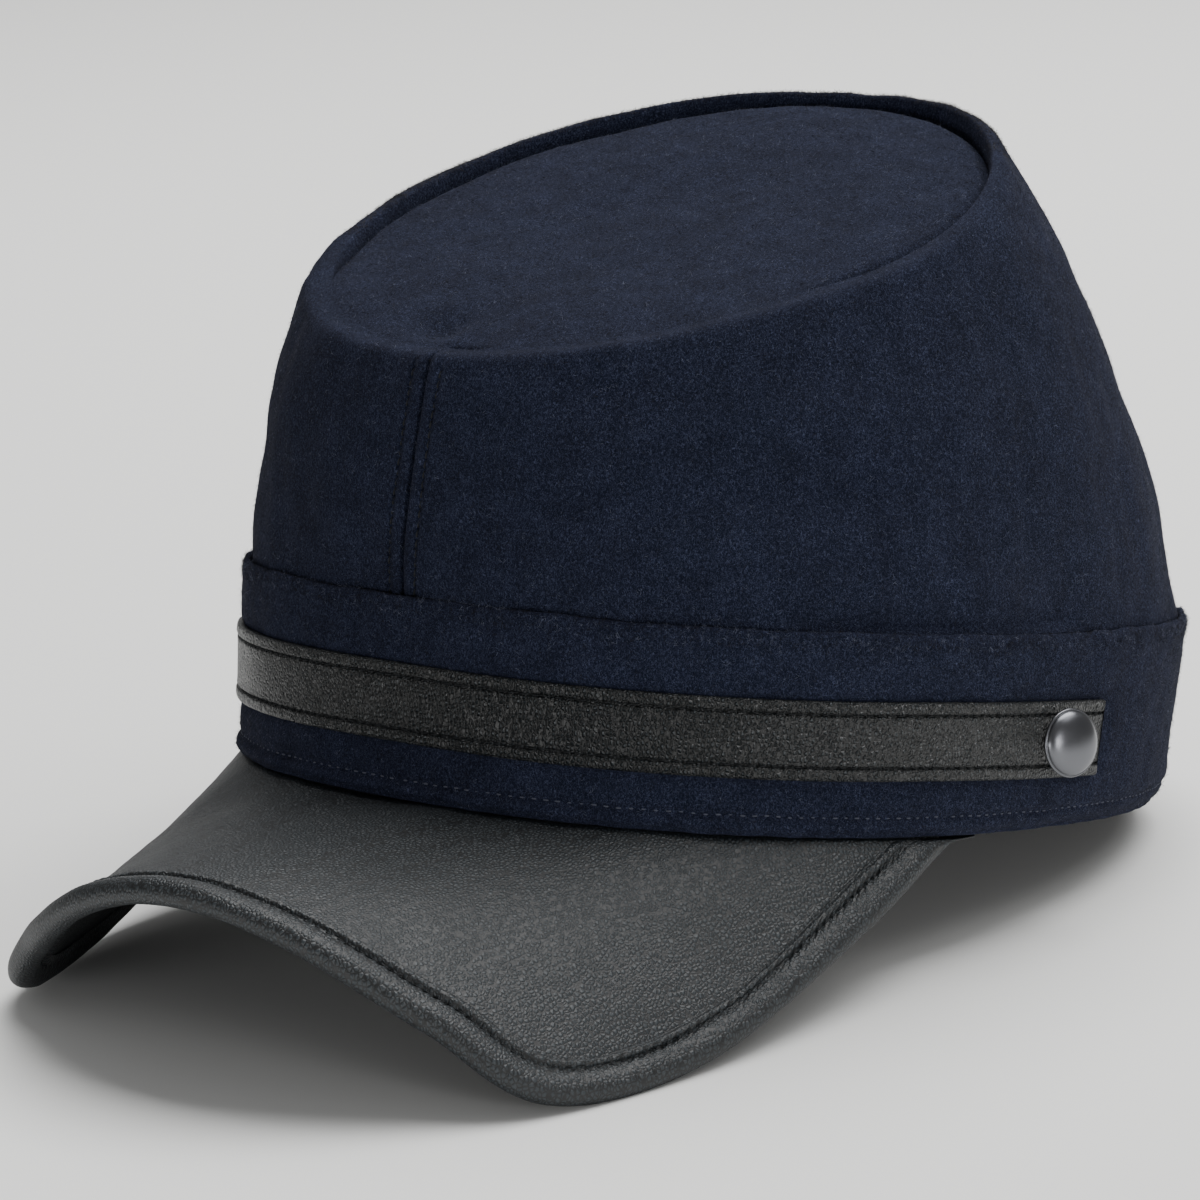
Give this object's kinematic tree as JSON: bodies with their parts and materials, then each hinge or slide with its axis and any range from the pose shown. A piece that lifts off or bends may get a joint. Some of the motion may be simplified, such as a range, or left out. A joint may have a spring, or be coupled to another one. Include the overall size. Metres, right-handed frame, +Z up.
{
  "type": "kepi",
  "caption": "Forage cap with a tall soft wool crown that leans forward, a wool band, a leather front strap with domed buttons and a curved leather peak.",
  "frame": {"origin": "centre of the bounding box on the surface that the cap stands on", "axes": "+Z up, the cap's front towards -Y and the wearer's left towards +X"},
  "size_m": [0.184, 0.2776, 0.1516],
  "materials": {
    "wool_cloth": "navy felted wool cloth, matt",
    "black_leather": "black pebbled leather, satin",
    "dark_metal": "dark gunmetal, satin"
  },
  "bodies": {
    "root": {"crown_side_left": "wool_cloth", "crown_side_right": "wool_cloth", "crown_tip": "wool_cloth", "band": "wool_cloth", "strap": "black_leather", "visor_panel": "black_leather", "visor_binding": "black_leather", "button_left": "dark_metal", "button_right": "dark_metal"}
  },
  "joints": []
}
